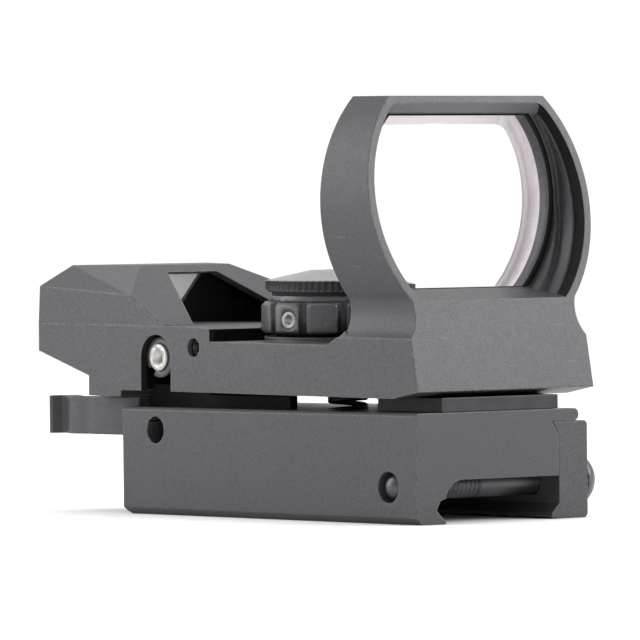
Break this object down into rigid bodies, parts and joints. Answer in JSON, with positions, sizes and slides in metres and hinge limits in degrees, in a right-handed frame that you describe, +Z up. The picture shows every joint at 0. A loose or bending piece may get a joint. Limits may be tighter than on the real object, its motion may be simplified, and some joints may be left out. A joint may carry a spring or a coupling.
{
  "type": "red dot sight",
  "caption": "Open reflex sight with a hooded objective lens, an emitter housing, a brightness knob and a quick-release clamp for a sight rail.",
  "frame": {"origin": "on the mid-plane, half way along the mount, on the plane of the rail's top face", "axes": "+X towards the objective hood, +Y towards the moving clamp jaw, +Z up, away from the rail"},
  "size_m": [0.0862, 0.0417, 0.0599],
  "materials": {
    "anodised_housing": "matt dark grey hard anodised, fine blasted grain",
    "anodised_mount": "matt dark grey anodised, machined",
    "anodised_knob": "matt dark grey anodised, turned and fluted",
    "cap_top": "turned top face, satin",
    "steel": "bright turned steel",
    "black_steel": "blackened steel, satin",
    "spring_steel": "plain",
    "black_plastic": "matt black",
    "lens_glass": "coated, frosted ground edge",
    "window_glass": "frosted",
    "board": "circuit board",
    "led": "clear red",
    "rubber": "matt black",
    "cell": "plain polished"
  },
  "bodies": {
    "mount": {"rail_base": "anodised_mount", "guide_pins": "steel", "jaw_springs": "spring_steel", "lever_pivot_pin": "black_steel", "lock_spring": "spring_steel", "adjuster_pedestal": "black_steel", "pedestal_screws": "black_steel", "screw_retaining_ring": "black_steel", "yaw_pivot_pin": "black_steel", "lift_spring": "black_steel"},
    "jaw": {"clamp_jaw": "anodised_mount"},
    "bolt": {"cross_bolt": "black_steel"},
    "lever": {"qr_lever": "anodised_mount"},
    "plunger": {"lock_plunger": "black_steel"},
    "windage_screw": {"windage_screw": "steel"},
    "windage_nut": {"windage_nut": "black_steel"},
    "yoke": {"pivot_block": "black_steel"},
    "optic": {"main_housing": "anodised_housing", "hinge_pin": "black_steel", "bottom_plate": "anodised_housing", "bottom_plate_screws": "black_steel", "cover_screws": "black_steel", "emitter_cover": "anodised_housing", "emitter_bulkhead": "black_plastic", "emitter_window": "window_glass", "led_board": "board", "led_emitter": "led", "objective_lens": "lens_glass", "lens_retainer": "black_plastic", "switch_board": "board"},
    "lock_screw": {"windage_lock_screw": "black_steel"},
    "elevation_screw": {"elevation_screw": "black_steel"},
    "knob": {"knob_ring": "anodised_knob", "knob_detent_ball": "steel", "knob_set_screw": "steel", "coin_cell": "cell", "battery_contact": "spring_steel"},
    "cap": {"battery_cap": "anodised_knob", "cap_o_ring": "rubber"}
  },
  "joints": [
    {"name": "lever_swing", "type": "hinge", "parent": "mount", "child": "lever", "pos_m": [-0.0253, 0.0035, 0.0063], "axis": [0, 0, -1], "range_deg": [0, 100]},
    {"name": "jaw_slide", "type": "slide", "parent": "mount", "child": "jaw", "axis": [0, 1, 0], "range_m": [0, 0.0017]},
    {"name": "bolt_turn", "type": "hinge", "parent": "mount", "child": "bolt", "pos_m": [0.02637, 0, -0.00093], "axis": [0, 1, 0], "continuous": true},
    {"name": "plunger_slide", "type": "slide", "parent": "mount", "child": "plunger", "axis": [0, -1, 0], "range_m": [0, 0.0008], "stiffness_N_per_m": 150, "springref_m": -0.002},
    {"name": "windage_yaw", "type": "hinge", "parent": "mount", "child": "yoke", "pos_m": [0.0273, -0.0007, 0.01], "axis": [0, 0, 1], "range_deg": [-0.6, 0.6]},
    {"name": "windage_screw_turn", "type": "hinge", "parent": "mount", "child": "windage_screw", "pos_m": [-0.0251, 0, 0.01672], "axis": [0, 1, 0], "range_deg": [-480, 480]},
    {"name": "windage_nut_slide", "type": "slide", "parent": "mount", "child": "windage_nut", "axis": [0, 1, 0], "range_m": [-0.00056, 0.00056]},
    {"name": "elevation_pitch", "type": "hinge", "parent": "yoke", "child": "optic", "pos_m": [0.02153, 0, 0.0131], "axis": [0, 1, 0], "range_deg": [-0.2, 0.6]},
    {"name": "elevation_screw_turn", "type": "hinge", "parent": "optic", "child": "elevation_screw", "pos_m": [-0.00945, 0.01385, 0.01538], "axis": [0.009, 0, 1], "range_deg": [-80, 240]},
    {"name": "lock_screw_turn", "type": "hinge", "parent": "optic", "child": "lock_screw", "pos_m": [-0.01634, -0.013, 0.01821], "axis": [0, 1, 0], "range_deg": [-180, 180]},
    {"name": "knob_turn", "type": "hinge", "parent": "optic", "child": "knob", "pos_m": [-0.00297, 0, 0.02232], "axis": [0.009, 0, 1], "range_deg": [0, 300]},
    {"name": "cap_lift", "type": "slide", "parent": "knob", "child": "cap", "axis": [0.009, 0, 1], "range_m": [0, 0.012]}
  ],
  "couplings": [
    {"joint": "jaw_slide", "follows": "lever_swing", "m_per_rad": 0.00095},
    {"joint": "windage_screw_turn", "follows": "windage_yaw", "ratio": 650},
    {"joint": "windage_nut_slide", "follows": "windage_yaw", "m_per_rad": -0.0524},
    {"joint": "elevation_screw_turn", "follows": "elevation_pitch", "ratio": 390}
  ]
}
